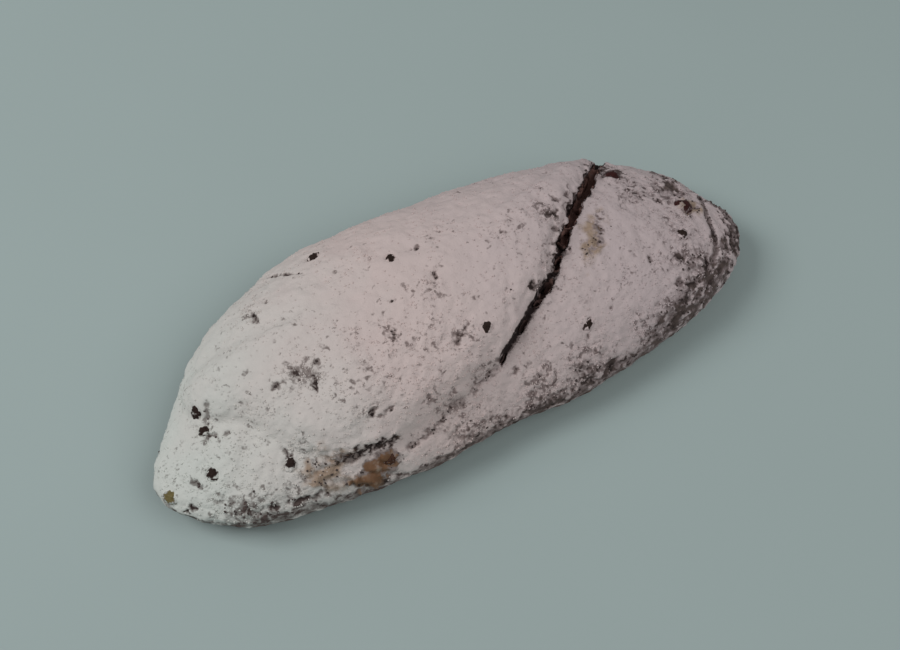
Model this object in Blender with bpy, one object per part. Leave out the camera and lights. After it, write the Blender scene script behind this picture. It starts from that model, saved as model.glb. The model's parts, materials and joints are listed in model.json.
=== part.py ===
"""A stollen: a long loaf folded over on itself and dusted with sugar, with fruit at its surface.

+X runs along the loaf towards the end where the fold gapes, +Y towards the side where the dough is
folded over, and +Z up. The origin is the middle of the loaf's underside, and the loaf rests on z = 0.
The dough is one solid: a lower layer and the flap that is folded over it, joined along the fold, with
an open crack where the flap's free edge has pulled away from the lower layer. Each piece of fruit is a
solid of its own, which sits in a socket in the dough.
"""

import math

import bmesh
import bpy
from mathutils import Matrix, Vector, noise
from mathutils.bvhtree import BVHTree
from mathutils.geometry import interpolate_bezier

MM = 0.001

# The lower layer of dough: the heights of its crown and of its widest outline, how deep and how far in
# the underside is tucked below that outline, and the outline in plan, anticlockwise from the +X end.
LAYER_HEIGHT = 51 * MM
BELLY_HEIGHT = 16 * MM
UNDERSIDE_DEPTH = 27 * MM
UNDERCUT_REACH = 56 * MM
UNDERCUT_BLEND = (math.radians(45), math.radians(90))
LAYER_CENTRE = Vector((0, -3 * MM))
LAYER_SEGMENTS = 76
LAYER_RINGS = 28
LAYER_EDGE = [
    (158 * MM, -13 * MM),
    (148.5 * MM, 7 * MM),
    (142 * MM, 24 * MM),
    (124 * MM, 40 * MM),
    (92 * MM, 52 * MM),
    (40 * MM, 60 * MM),
    (-20 * MM, 62 * MM),
    (-72 * MM, 58 * MM),
    (-114 * MM, 37 * MM),
    (-140 * MM, 6 * MM),
    (-158 * MM, -20 * MM),
    (-150 * MM, -40 * MM),
    (-118 * MM, -60 * MM),
    (-60 * MM, -65 * MM),
    (10 * MM, -65 * MM),
    (75 * MM, -61 * MM),
    (107 * MM, -53 * MM),
    (139 * MM, -40 * MM),
    (153 * MM, -27 * MM),
]

# The loaf's middle line droops towards -Y at both ends. The crown falls away from it, by these shares
# of its height and with these powers of the distance, and is then rounded off towards the outline.
HALF_LENGTH = 155 * MM
HALF_WIDTH = 64 * MM
MIDDLE_DROOP = 20 * MM
DROOP_POWER = 2.5
SIDE_FALL = 0.30
SIDE_FALL_POWER = 2.2
BLUNT_END_FALL = 0.42
CRACKED_END_FALL = 0.30
END_FALL_POWER = 3
SIDE_SQUARENESS = 3.2
END_SQUARENESS = 5.5
ROUNDING = 0.45

# The flap: its crown, how far it stands out beyond the fold side, and the thickness of its free edge.
FLAP_HEIGHT = 61 * MM
FLAP_CENTRE = Vector((-14 * MM, 4 * MM))
FLAP_OVERHANG = 1.5 * MM
FLAP_EDGE_SINK = 4 * MM
FLAP_EDGE_THICKNESS = 14 * MM
FREE_EDGE_SQUARENESS = 9.0
FLAP_SEGMENTS = 84
FLAP_RINGS = 26
FOLD_START_X = -114 * MM
FOLD_END_X = 99 * MM
# The strips in which the free edge's thin rim grows into the fold's full side: across the loaf, which
# leans a little towards its ends, and beyond the line through the crack's wide end.
FOLD_BLEND = (18 * MM, 34 * MM)
FOLD_BLEND_LEAN = 0.1
CRACK_BLEND = (1 * MM, 8 * MM)
# The flap's free edge in plan, from the wide end of the crack, along the near side, to the blunt end.
FREE_EDGE = [
    (110 * MM, 43 * MM),
    (93 * MM, 27 * MM),
    (76 * MM, 12 * MM),
    (61 * MM, -3 * MM),
    (49 * MM, -17 * MM),
    (29 * MM, -30 * MM),
    (8 * MM, -43 * MM),
    (-20 * MM, -51 * MM),
    (-50 * MM, -55 * MM),
    (-79 * MM, -53 * MM),
    (-98 * MM, -38 * MM),
    (-110 * MM, -20 * MM),
    (-124 * MM, -9 * MM),
    (-131 * MM, 5 * MM),
    (-126 * MM, 21 * MM),
]
OUTLINE_STEP = 4 * MM

# What is open in the crust, each as a ragged wedge that changes from the first width and depth to the
# second: the crack, which runs out over the fold side, a shallow tear further along the free edge, and
# the groove round the +X end, where the layers of the rolled dough part. No cut goes below the floor.
CRACK_POINTS = 7
CRACK_WIDTH = (9 * MM, 2.6 * MM)
CRACK_DEPTH = (21 * MM, 6 * MM)
CRACK_OVERSHOOT = 12 * MM
CRACK_FLOOR = 22 * MM
TEAR_POINTS = (8, 10)
TEAR_WIDTH = (1.2 * MM, 3 * MM)
TEAR_DEPTH = (3 * MM, 5 * MM)
GROOVE_LINE = [
    (148 * MM, 8 * MM),
    (143.5 * MM, -4 * MM),
    (138.5 * MM, -18 * MM),
    (136 * MM, -28 * MM),
    (129 * MM, -36 * MM),
]
GROOVE_WIDTH = (4 * MM, 3 * MM)
GROOVE_DEPTH = (5 * MM, 3 * MM)
CUTTER_STEP = 3 * MM
CUTTER_STATION = 3.2 * MM
CUTTER_TOP = 75 * MM
CUTTER_TAPER = 0.45
RAGGEDNESS = 1.7 * MM
RAG_LENGTH = 9 * MM
RAG_SIDE_OFFSET = 20 * MM

# The unevenness of the baked dough: broad swells, and lumps where fruit lies under the crust.
SWELL_SIZE = 46 * MM
SWELL_HEIGHT = 2.2 * MM
LUMP_SIZE = 17 * MM
LUMP_HEIGHT = 0.9 * MM

# Fruit at the surface: kind, place in plan, length, width, turn about Z, and how much of it is sunk.
RAISIN = "raisin"
CHERRY = "cherry"
PEEL = "candied_peel"
FRUIT = [
    (RAISIN, -127 * MM, -3 * MM, 9 * MM, 6 * MM, 35, 0.68),
    (RAISIN, -127 * MM, -12 * MM, 6.5 * MM, 5 * MM, 10, 0.70),
    (RAISIN, -131 * MM, -32 * MM, 7.5 * MM, 6.5 * MM, 80, 0.72),
    (RAISIN, -98 * MM, -45 * MM, 8 * MM, 5 * MM, 50, 0.70),
    (RAISIN, -48 * MM, 44 * MM, 9 * MM, 6 * MM, 25, 0.72),
    (RAISIN, -18 * MM, 20 * MM, 7 * MM, 5 * MM, 80, 0.78),
    (RAISIN, 7 * MM, -31 * MM, 7 * MM, 5 * MM, 60, 0.76),
    (RAISIN, 54 * MM, -43 * MM, 8 * MM, 5 * MM, 20, 0.76),
    (RAISIN, 120 * MM, -19 * MM, 7.5 * MM, 6.5 * MM, 50, 0.74),
    (RAISIN, -56 * MM, -60 * MM, 8 * MM, 6 * MM, 15, 0.68),
    (CHERRY, 131 * MM, -3 * MM, 12 * MM, 10 * MM, 0, 0.72),
    (CHERRY, 107 * MM, 28 * MM, 11 * MM, 8 * MM, 30, 0.70),
    (PEEL, -152 * MM, -30 * MM, 10 * MM, 7 * MM, 130, 0.62),
]
FRUIT_SEGMENTS = 10
FRUIT_RINGS = 7
FRUIT_HEIGHT_SHARE = 0.8
SOCKET_GAP = 0.3 * MM
WRINKLE_SHARE = {RAISIN: 0.12, CHERRY: 0.05, PEEL: 0.10}
WRINKLES_PER_RADIUS = 2.1
WRINKLE_SEED_STEP = 900

# Colours in linear RGB, and roughness, of each material.
FINISHES = {
    "sugared_crust": ((0.52, 0.44, 0.42, 1.0), 0.85),
    RAISIN: ((0.012, 0.006, 0.005, 1.0), 0.5),
    CHERRY: ((0.10, 0.012, 0.010, 1.0), 0.35),
    PEEL: ((0.34, 0.20, 0.05, 1.0), 0.4),
}


def clear_scene():
    for obj in list(bpy.data.objects):
        bpy.data.objects.remove(obj)


def new_collection(name):
    collection = bpy.data.collections.new(name)
    bpy.context.scene.collection.children.link(collection)
    return collection


def material(name):
    """The Principled material of one finish, made once."""
    if name in bpy.data.materials:
        return bpy.data.materials[name]
    made = bpy.data.materials.new(name)
    made.use_nodes = True
    colour, roughness = FINISHES[name]
    shader = made.node_tree.nodes["Principled BSDF"]
    shader.inputs["Base Color"].default_value = colour
    shader.inputs["Roughness"].default_value = roughness
    shader.inputs["Metallic"].default_value = 0.0
    return made


def new_object(name, bm, collection):
    mesh = bpy.data.meshes.new(name)
    bm.to_mesh(mesh)
    bm.free()
    obj = bpy.data.objects.new(name, mesh)
    collection.objects.link(obj)
    return obj


def finish(obj, name):
    obj.data.materials.append(material(name))
    obj.data.shade_smooth()


def mark_cutter(obj):
    obj.hide_render = True
    obj.display_type = "WIRE"


def add_boolean(obj, other, operation):
    """Joins or cuts. EXACT leaves slivers where a ragged cutter grazes the dough, so cuts use MANIFOLD."""
    modifier = obj.modifiers.new(other.name, "BOOLEAN")
    modifier.operation = operation
    modifier.solver = "EXACT" if operation == "UNION" else "MANIFOLD"
    modifier.object = other


def mix(start, end, share):
    return start + (end - start) * share


def smooth_step(low, high, value):
    share = min(max((value - low) / (high - low), 0.0), 1.0)
    return share * share * (3 - 2 * share)


def smooth_line(points, closed, step):
    """Points about a step apart along a smooth curve through these plan points."""
    count = len(points)
    line = []
    for span in range(count if closed else count - 1):
        near = [i % count if closed else min(max(i, 0), count - 1) for i in range(span - 1, span + 3)]
        before, start, end, after = (points[i] for i in near)
        pieces = max(int((end - start).length / step), 1)
        leave = start + (end - before) / 6
        arrive = end - (after - start) / 6
        line += interpolate_bezier(start, leave, arrive, end, pieces + 1)[:-1]
    return line if closed else line + [points[-1].copy()]


def lengths_along(points):
    """The distance from the first point to each, along the line."""
    total = [0.0]
    for start, end in zip(points, points[1:]):
        total.append(total[-1] + (end - start).length)
    return total


def at_share(points, lengths, share):
    """The point at this share of the line's length."""
    wanted = share * lengths[-1]
    index = 0
    while index < len(points) - 2 and lengths[index + 1] < wanted:
        index += 1
    part = (wanted - lengths[index]) / (lengths[index + 1] - lengths[index])
    return points[index].lerp(points[index + 1], part)


def closed_outline(points, centre):
    """A smooth closed line through the points, which starts and ends straight out along +X."""
    line = smooth_line(points, True, OUTLINE_STEP)
    start = min(range(len(line)), key=lambda i: abs(math.atan2(*(line[i] - centre).yx)))
    line = line[start:] + line[:start]
    return line + [line[0].copy()]


def middle_line(x):
    """The y of the loaf's middle line at this x."""
    return -MIDDLE_DROOP * abs(x / HALF_LENGTH) ** DROOP_POWER


def crown(plan, height):
    """The height of a dome over this plan point, before its sides are rounded off."""
    along = plan.x / HALF_LENGTH
    across = min(abs(plan.y - middle_line(plan.x)) / HALF_WIDTH, 1)
    end_fall = mix(BLUNT_END_FALL, CRACKED_END_FALL, smooth_step(-0.3, 0.3, along))
    fall = SIDE_FALL * across**SIDE_FALL_POWER + end_fall * abs(along) ** END_FALL_POWER
    return height * (1 - fall)


def rounded(share, squareness):
    """How much of the crown's height is left at this share of the way out to the widest outline."""
    return max(1 - share**squareness, 0.0) ** ROUNDING


def roughen(bm):
    """Moves each point out or in along its normal, so that the dough is uneven."""
    bm.normal_update()
    for vert in bm.verts:
        swell = noise.noise(vert.co / SWELL_SIZE) * SWELL_HEIGHT
        lump = noise.noise(vert.co / LUMP_SIZE) * LUMP_HEIGHT
        vert.co += vert.normal * (swell + lump)


def tucked_in(edge, centre, latitude):
    """The plan point of the underside: tucked in under the outline alike all round, then at the centre."""
    spread = smooth_step(*UNDERCUT_BLEND, -latitude)
    inward = mix(min(UNDERCUT_REACH / (edge - centre).length, 1), 1, spread)
    return edge.lerp(centre, inward * (1 - math.cos(latitude)))


def shaped_sphere(segments, rings, outline, surface_point):
    """A sphere whose equator becomes the outline, each point moved to where surface_point puts it."""
    lengths = lengths_along(outline)
    bm = bmesh.new()
    bmesh.ops.create_uvsphere(bm, u_segments=segments, v_segments=rings, radius=1)
    for vert in bm.verts:
        turn = math.atan2(vert.co.y, vert.co.x) / (2 * math.pi) % 1
        latitude = math.asin(max(min(vert.co.z, 1), -1))
        vert.co = surface_point(at_share(outline, lengths, turn), latitude)
    roughen(bm)
    return bm


def layer_rise(plan, share):
    """How far the lower layer's top stands above its widest outline."""
    squareness = mix(SIDE_SQUARENESS, END_SQUARENESS, (plan.x / HALF_LENGTH) ** 2)
    return (crown(plan, LAYER_HEIGHT) - BELLY_HEIGHT) * rounded(share, squareness)


def layer_point(edge, latitude):
    """The lower layer's surface: its outline, shrunk and raised or lowered with the latitude."""
    share = math.cos(latitude)
    if latitude < 0:
        plan = tucked_in(edge, LAYER_CENTRE, latitude)
        rise = UNDERSIDE_DEPTH * math.sin(latitude)
    else:
        plan = LAYER_CENTRE.lerp(edge, share)
        rise = layer_rise(plan, share)
    return Vector((plan.x, plan.y, BELLY_HEIGHT + rise))


def layer_outline():
    return closed_outline([Vector(point) for point in LAYER_EDGE], LAYER_CENTRE)


def make_lower_layer(collection):
    bm = shaped_sphere(LAYER_SEGMENTS, LAYER_RINGS, layer_outline(), layer_point)
    return new_object("dough", bm, collection)


def layer_top(plan):
    """The height of the lower layer's top at a plan point."""
    across = (plan.y - middle_line(plan.x)) / HALF_WIDTH
    share = min(math.hypot(across, plan.x / HALF_LENGTH), 1)
    return BELLY_HEIGHT + layer_rise(plan, share)


def flap_outline():
    """The flap's widest outline in plan: the fold, a little outside the lower layer, and the free edge."""
    fold = [point for point in layer_outline() if FOLD_START_X < point.x < FOLD_END_X and point.y > 0]
    fold = [point + (point - LAYER_CENTRE).normalized() * FLAP_OVERHANG for point in fold[::3]]
    free = [Vector(point) for point in reversed(FREE_EDGE)]
    return closed_outline(fold + free, FLAP_CENTRE)


def beyond_crack(edge):
    """1 on the flap's side of the line through the crack's wide end, and 0 on the other side."""
    (x1, y1), (x2, y2) = FREE_EDGE[0], FREE_EDGE[1]
    line_y = y1 + (edge.x - x1) * (y2 - y1) / (x2 - x1)
    return smooth_step(*CRACK_BLEND, edge.y - line_y)


def on_fold(edge):
    """1 along the fold, where the flap's skin runs down to the underside, and 0 along the free edge."""
    across = smooth_step(*FOLD_BLEND, edge.y + FOLD_BLEND_LEAN * abs(edge.x))
    return across * beyond_crack(edge) if edge.x > 0 else across


def flap_point(edge, latitude):
    """The flap's surface: its outline, shrunk to the centre and raised or lowered with the latitude."""
    share = math.cos(latitude)
    folded = on_fold(edge)
    rim = mix(layer_top(edge) - FLAP_EDGE_SINK, BELLY_HEIGHT, folded)
    if latitude < 0:
        plan = tucked_in(edge, FLAP_CENTRE, latitude)
        rise = mix(FLAP_EDGE_THICKNESS, UNDERSIDE_DEPTH, folded) * math.sin(latitude)
    else:
        plan = FLAP_CENTRE.lerp(edge, share)
        squareness = mix(FREE_EDGE_SQUARENESS, SIDE_SQUARENESS, folded)
        rise = (crown(plan, FLAP_HEIGHT) - rim) * rounded(share, squareness)
    return Vector((plan.x, plan.y, rim + rise))


def make_flap(collection):
    bm = shaped_sphere(FLAP_SEGMENTS, FLAP_RINGS, flap_outline(), flap_point)
    flap = new_object("flap", bm, collection)
    flap.data.shade_smooth()
    mark_cutter(flap)
    return flap


def make_underside_cutter(collection):
    """A block whose top is the plane that the loaf rests on."""
    bm = bmesh.new()
    bmesh.ops.create_cube(bm, size=1)
    bmesh.ops.scale(bm, verts=bm.verts, vec=(3 * HALF_LENGTH, 3 * HALF_WIDTH, CUTTER_TOP))
    bmesh.ops.translate(bm, verts=bm.verts, vec=(0, 0, -CUTTER_TOP / 2))
    block = new_object("underside_cutter", bm, collection)
    mark_cutter(block)
    return block


def surface_of(obj):
    """A search tree of the object's faces as its modifiers leave them."""
    bpy.context.view_layer.update()
    return BVHTree.FromObject(obj, bpy.context.evaluated_depsgraph_get())


def dropped_on(surface, x, y):
    """Where a point dropped from above lands on the surface, and the normal there, or None twice."""
    return surface.ray_cast(Vector((x, y, CUTTER_TOP)), Vector((0, 0, -1)))[:2]


def blade_block(stations):
    """A unit block cut across its length into this many stations."""
    bm = bmesh.new()
    bmesh.ops.create_cube(bm, size=1)
    long_edges = [edge for edge in bm.edges if abs(edge.verts[0].co.x - edge.verts[1].co.x) > 0.5]
    bmesh.ops.subdivide_edges(bm, edges=long_edges, cuts=stations - 1)
    return bm


def make_blade(name, path, widths, depths, surface, collection):
    """A ragged wedge that follows a path in plan and reaches a depth below the dough's surface."""
    lengths = lengths_along(path)
    stations = int(lengths[-1] / CUTTER_STATION)
    bm = blade_block(stations)
    for vert in bm.verts:
        share = vert.co.x + 0.5
        middle = at_share(path, lengths, share)
        behind = at_share(path, lengths, max(share - 1 / stations, 0))
        ahead = at_share(path, lengths, min(share + 1 / stations, 1)) - behind
        side = Vector((-ahead.y, ahead.x)).normalized()
        half = mix(*widths, share) / 2
        top = CUTTER_TOP
        if vert.co.z < 0:
            half *= CUTTER_TAPER
            ground = dropped_on(surface, middle.x, middle.y)[0]
            top = max(ground.z - mix(*depths, share), CRACK_FLOOR) if ground else CRACK_FLOOR
        rag_place = Vector((middle.x, middle.y, RAG_SIDE_OFFSET * vert.co.y))
        rag = noise.noise(rag_place / RAG_LENGTH) * RAGGEDNESS
        plan = middle + side * (math.copysign(half, vert.co.y) + rag)
        vert.co = (plan.x, plan.y, top)
    blade = new_object(name, bm, collection)
    mark_cutter(blade)
    return blade


def crack_path():
    """The crack's line in plan, run out past the fold side so that it opens there."""
    points = [Vector(point) for point in FREE_EDGE[:CRACK_POINTS]]
    outward = (points[0] - points[1]).normalized()
    return smooth_line([points[0] + outward * CRACK_OVERSHOOT] + points, False, CUTTER_STEP)


def tear_path():
    points = [Vector(point) for point in FREE_EDGE[slice(*TEAR_POINTS)]]
    return smooth_line(points, False, CUTTER_STEP)


def groove_path():
    return smooth_line([Vector(point) for point in GROOVE_LINE], False, CUTTER_STEP)


def open_crust(dough, cutters):
    """Cuts the crack, the tear and the end groove, each measured down from the uncut dough."""
    surface = surface_of(dough)
    blades = [
        make_blade("crack_cutter", crack_path(), CRACK_WIDTH, CRACK_DEPTH, surface, cutters),
        make_blade("tear_cutter", tear_path(), TEAR_WIDTH, TEAR_DEPTH, surface, cutters),
        make_blade("groove_cutter", groove_path(), GROOVE_WIDTH, GROOVE_DEPTH, surface, cutters),
    ]
    for blade in blades:
        add_boolean(dough, blade, "DIFFERENCE")


def shape_fruit(kind, length, width, grow):
    """One piece of fruit about the origin, lengthened along X, with its skin wrinkled."""
    size = Vector((length, width, width * FRUIT_HEIGHT_SHARE)) / 2
    seed = Vector((length, width, 0)) * WRINKLE_SEED_STEP
    bm = bmesh.new()
    bmesh.ops.create_uvsphere(bm, u_segments=FRUIT_SEGMENTS, v_segments=FRUIT_RINGS, radius=1)
    for vert in bm.verts:
        wrinkle = 1 + WRINKLE_SHARE[kind] * noise.noise(vert.co * WRINKLES_PER_RADIUS + seed)
        vert.co = vert.co * wrinkle * size + vert.co.normalized() * grow
    return bm


def place_on(surface, x, y, turn, height, sunk):
    """A place on the surface, leaning with it, sunk by a share of the fruit's height."""
    point, normal = dropped_on(surface, x, y)
    centre = point + normal * height * (0.5 - sunk)
    lean = Vector((0, 0, 1)).rotation_difference(normal).to_matrix().to_4x4()
    return Matrix.Translation(centre) @ lean @ Matrix.Rotation(math.radians(turn), 4, "Z")


def make_fruit(dough, parts, cutters):
    """Each piece of fruit, with the socket that it sits in cut out of the dough."""
    surface = surface_of(dough)
    counts = dict.fromkeys(WRINKLE_SHARE, 0)
    for kind, x, y, length, width, turn, sunk in FRUIT:
        counts[kind] += 1
        name = f"{kind}_{counts[kind]}"
        place = place_on(surface, x, y, turn, width * FRUIT_HEIGHT_SHARE, sunk)
        fruit = new_object(name, shape_fruit(kind, length, width, 0), parts)
        fruit.matrix_world = place
        finish(fruit, kind)
        socket = new_object(f"{name}_socket", shape_fruit(kind, length, width, SOCKET_GAP), cutters)
        socket.matrix_world = place
        mark_cutter(socket)
        add_boolean(dough, socket, "DIFFERENCE")


def centre_on_origin(parts, cutters):
    """Moves everything so that the origin is under the middle of the loaf's bounding box."""
    bpy.context.view_layer.update()
    graph = bpy.context.evaluated_depsgraph_get()
    xs = []
    ys = []
    for obj in parts.objects:
        for vert in obj.evaluated_get(graph).data.vertices:
            point = obj.matrix_world @ vert.co
            xs.append(point.x)
            ys.append(point.y)
    middle = Vector((min(xs) + max(xs), min(ys) + max(ys), 0)) / 2
    for obj in list(parts.objects) + list(cutters.objects):
        obj.location -= middle


def main():
    clear_scene()
    parts = new_collection("stollen")
    cutters = new_collection("cutters")
    dough = make_lower_layer(parts)
    finish(dough, "sugared_crust")
    add_boolean(dough, make_flap(cutters), "UNION")
    add_boolean(dough, make_underside_cutter(cutters), "DIFFERENCE")
    open_crust(dough, cutters)
    make_fruit(dough, parts, cutters)
    centre_on_origin(parts, cutters)


main()
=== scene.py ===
"""The looks of a stollen: a folded fruit loaf with a thick dusting of powdered sugar over its crust.

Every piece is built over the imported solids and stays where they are. The baked loaf replaces the dough,
and the dried and candied fruit replaces the fruit solids. Loose sugar and crust crumbs lie on the loaf.
Run as a script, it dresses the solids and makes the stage.
"""

import json
import math

import bpy
import numpy as np
from bpy.props import FloatProperty, FloatVectorProperty, IntProperty, PointerProperty
from mathutils import Matrix, Vector, noise
from mathutils.bvhtree import BVHTree

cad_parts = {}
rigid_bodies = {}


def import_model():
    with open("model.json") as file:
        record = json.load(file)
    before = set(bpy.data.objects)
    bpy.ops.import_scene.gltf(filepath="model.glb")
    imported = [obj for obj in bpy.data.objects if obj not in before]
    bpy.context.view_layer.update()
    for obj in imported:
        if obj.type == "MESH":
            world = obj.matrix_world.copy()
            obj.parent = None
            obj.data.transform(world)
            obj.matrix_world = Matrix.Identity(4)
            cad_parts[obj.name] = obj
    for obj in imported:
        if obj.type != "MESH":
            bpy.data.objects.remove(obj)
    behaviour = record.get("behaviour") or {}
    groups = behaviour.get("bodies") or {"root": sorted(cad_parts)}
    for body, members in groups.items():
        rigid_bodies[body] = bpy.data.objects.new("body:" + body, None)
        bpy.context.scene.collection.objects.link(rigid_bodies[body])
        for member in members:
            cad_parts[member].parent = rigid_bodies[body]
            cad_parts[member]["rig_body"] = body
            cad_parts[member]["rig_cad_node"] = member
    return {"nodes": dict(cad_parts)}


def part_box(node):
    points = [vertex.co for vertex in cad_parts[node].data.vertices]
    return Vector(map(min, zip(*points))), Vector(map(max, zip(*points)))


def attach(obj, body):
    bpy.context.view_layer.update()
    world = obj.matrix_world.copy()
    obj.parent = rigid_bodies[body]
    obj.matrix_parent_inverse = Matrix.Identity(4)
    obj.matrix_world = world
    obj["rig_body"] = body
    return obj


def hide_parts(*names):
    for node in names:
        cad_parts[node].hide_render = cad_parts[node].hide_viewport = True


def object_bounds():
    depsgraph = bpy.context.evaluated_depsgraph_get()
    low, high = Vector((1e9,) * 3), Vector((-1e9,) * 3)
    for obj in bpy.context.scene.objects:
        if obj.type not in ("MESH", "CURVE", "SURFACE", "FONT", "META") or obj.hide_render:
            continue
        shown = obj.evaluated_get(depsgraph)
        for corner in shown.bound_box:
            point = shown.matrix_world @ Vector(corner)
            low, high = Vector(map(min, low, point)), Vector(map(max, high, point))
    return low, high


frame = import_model()
CAD_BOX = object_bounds()

bl_info = {
    "name": "Stollen looks",
    "version": (1, 0, 0),
    "blender": (4, 5, 0),
    "location": "3D View > Sidebar > Stollen",
    "description": "Dresses the solids of a stollen with sugared crust, fruit, loose sugar and crumbs",
    "category": "Object",
}

MM = 0.001

# The open lines in the crust, in plan, in millimetres: each is where the solid dough is cut.
CRACK_LINE = [(119, 52), (110, 44), (93, 28), (76, 13), (61, -2), (49, -16), (29, -29), (8, -42)]
TEAR_LINE = [(-50, -54), (-79, -52)]
GROOVE_LINE = [(148, 9), (143, -3), (138, -17), (136, -27), (129, -35)]

# Lumps of dough and sugar caught in the crack and the tear: x, y, z and width in millimetres.
BRIDGES = [(57, -7, 45, 5), (60, -3, 44, 4), (68, 7, 42, 4), (38, -24, 44, 3)]
BRIDGES += [(-57, -54, 31, 5), (-67, -53, 31, 6), (-75, -52, 31, 5)]

# Where the flap's free edge sinks into a soft valley, where thinner sugar and a faint dark mark paint the
# shade in that valley, and the dark rim round the cracked end.
VALLEY_LINE = [(0, -45), (-20, -50), (-46, -54)]
SHADE_LINE = [(7, -43), (-2, -46), (-18, -50), (-34, -56), (-47, -58)]
RIM_LINE = [(138, 30), (149, 17), (154, 4), (155, -9), (153, -21), (144, -32), (131, -41), (112, -51)]

# Where the sugar lies thinner, in plan: x, y, radius in millimetres, and the share of sugar lost. Along the
# near lower edge and at the cracked end, the thinner, greyer sugar is partly painted shade.
THIN_SUGAR_AND_SHADE = [
    (118, -12, 34, 0.14),
    (134, 14, 12, 0.30),
    (120, -38, 14, 0.30),
    (108, 32, 8, 0.50),
    (112, 14, 14, 0.20),
    (-96, -63, 9, 0.24),
    (-108, -59, 9, 0.24),
    (-121, -55, 9, 0.22),
    (-131, -47, 6, 0.25),
    (62, 16, 12, 0.10),
    (-30, -20, 40, 0.06),
    (22, -62, 12, 0.30),
    (-20, -65, 13, 0.35),
    (0, -61, 9, 0.25),
    (44, -60, 10, 0.35),
    (60, -58, 8, 0.25),
    (91, -53, 9, 0.30),
    (104, -51, 9, 0.35),
    (-123, -50, 8, 0.15),
]

# Places where the sugar is broken into many small flecks: x, y, radius in millimetres, and how much.
FLECKED_PLACES = [
    (-78, -15, 12, 0.95),
    (-50, -10, 9, 0.65),
    (-34, -17, 9, 0.80),
    (-88, 30, 9, 0.70),
    (-10, -4, 13, 0.60),
    (-112, 6, 6, 0.60),
    (-46, -31, 15, 0.60),
    (-18, -22, 13, 0.55),
    (-6, -30, 11, 0.65),
    (-30, -44, 12, 0.40),
    (-62, -40, 12, 0.50),
    (-92, -40, 8, 0.75),
    (58, 14, 11, 0.80),
    (36, 10, 14, 0.60),
    (64, 28, 8, 0.60),
    (8, 26, 12, 0.45),
    (108, 16, 9, 0.70),
    (134, 10, 9, 1.00),
    (108, 32, 8, 1.00),
    (126, -8, 9, 0.70),
    (114, -29, 10, 0.80),
    (122, -40, 10, 1.00),
    (104, -47, 9, 0.85),
    (136, -24, 6, 0.85),
    (-131, -42, 12, 0.60),
    (-118, -53, 10, 0.80),
    (-100, -60, 10, 0.80),
    (-127, -12, 9, 0.60),
    (70, -14, 8, 0.50),
    (47, -12, 7, 0.60),
    (22, -60, 14, 0.95),
    (48, -59, 14, 0.95),
    (84, -54, 12, 0.90),
    (102, -50, 10, 1.00),
    (-14, -63, 14, 0.85),
    (-122, -50, 9, 0.85),
]

# Single dark marks where the sugar has broken away, each a sunken pit of bare crust whose darkness is partly
# painted shade: x, y, length, width in millimetres, turn and depth.
MARKS = [
    (-5, 21, 5, 1.5, -16, 0.9),
    (-4, 3, 5, 1.5, -97, 0.9),
    (-33, -16, 6, 1.5, -115, 0.7),
    (-7, -30, 8, 2, -143, 0.8),
    (-81, -12, 8, 1.5, -79, 0.8),
    (-89, -14, 5, 2, 0, 0.8),
    (-74, -21, 7, 1.8, -100, 0.9),
    (-70, -14, 5, 1.5, -80, 0.6),
    (-86, 24, 9, 2.5, -79, 0.9),
    (-78, 32, 5, 1.5, -75, 0.7),
    (-50, -45, 8, 1.5, 8, 0.7),
    (-56, -42, 5, 2, 60, 0.7),
    (-65, 45, 22, 1.2, -46, 0.9),
    (62, 11, 10, 3, 15, 0.8),
    (67, 18, 5, 2, -60, 0.8),
    (36, -19, 6, 2.5, -150, 1.0),
    (82, -1, 7, 2.5, -62, 0.6),
    (77, -7, 5, 2, 40, 0.5),
    (60, 2, 6, 2.5, -60, 0.9),
    (56, -4, 5, 2, -30, 0.8),
    (74, 19, 5, 1.5, 40, 0.8),
    (80, 14, 4, 1.5, -20, 0.7),
    (38, -22, 6, 1.5, -26, 1.0),
    (-26, -1, 4, 1.5, 20, 0.5),
    (35, 9, 4, 1.5, -30, 0.5),
    (97, -25, 4, 1.5, 30, 0.5),
    (54, -43, 7, 1.2, 60, 0.8),
    (111, 14, 6, 1.5, -37, 0.9),
    (120, 4, 6, 2, -47, 0.9),
    (134, 13, 8, 2.5, -64, 0.8),
    (138, 20, 10, 2, -50, 0.8),
    (112, -29, 5, 2.5, -35, 0.8),
    (108, -40, 6, 2.5, -33, 0.9),
    (125, -35, 8, 2, -120, 0.9),
    (-125, -15, 5, 2.5, -33, 0.9),
    (-118, -18, 4, 1.5, 10, 0.8),
    (-123, -6, 8, 1.5, 60, 0.6),
    (-139, -31, 5, 2, -60, 0.8),
    (-146, -38, 5, 2.5, -32, 1.0),
    (-134, -42, 5, 1.2, -50, 0.4),
    (-97, -40, 7, 1.5, -73, 0.9),
    (-122, -52, 9, 1.2, -40, 0.6),
    (-112, -55, 8, 1.0, -17, 0.8),
    (-101, -57, 10, 1.0, -5, 0.8),
    (-90, -58, 8, 1.4, 5, 0.8),
    (13, -47, 4, 1.2, 20, 0.7),
    (149, -24, 12, 6, 78, 1.0),
    (151, -11, 8, 3, 82, 0.7),
    (98, -53, 7, 2, 25, 0.8),
    (46, -61, 6, 2, 8, 0.3),
    (60, -59, 7, 2, 12, 0.8),
    (20, -63, 6, 2, 4, 0.6),
    (-30, -46, 5, 1.2, 20, 0.6),
]

# Torn and soaked places: x, y, half length, half width in millimetres, turn.
CRUMB_PLACES = [(77, -4, 16, 6, -132), (-84, -52, 13, 7, -21), (134, -4, 8, 6, 0)]
SYRUP_PLACES = [(-62.5, -59.4, 13, 4.4, 9)]

# Fruit that the crust and the sugar nearly hide.
SUNKEN_FRUIT = ("raisin_7", "raisin_8")

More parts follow.
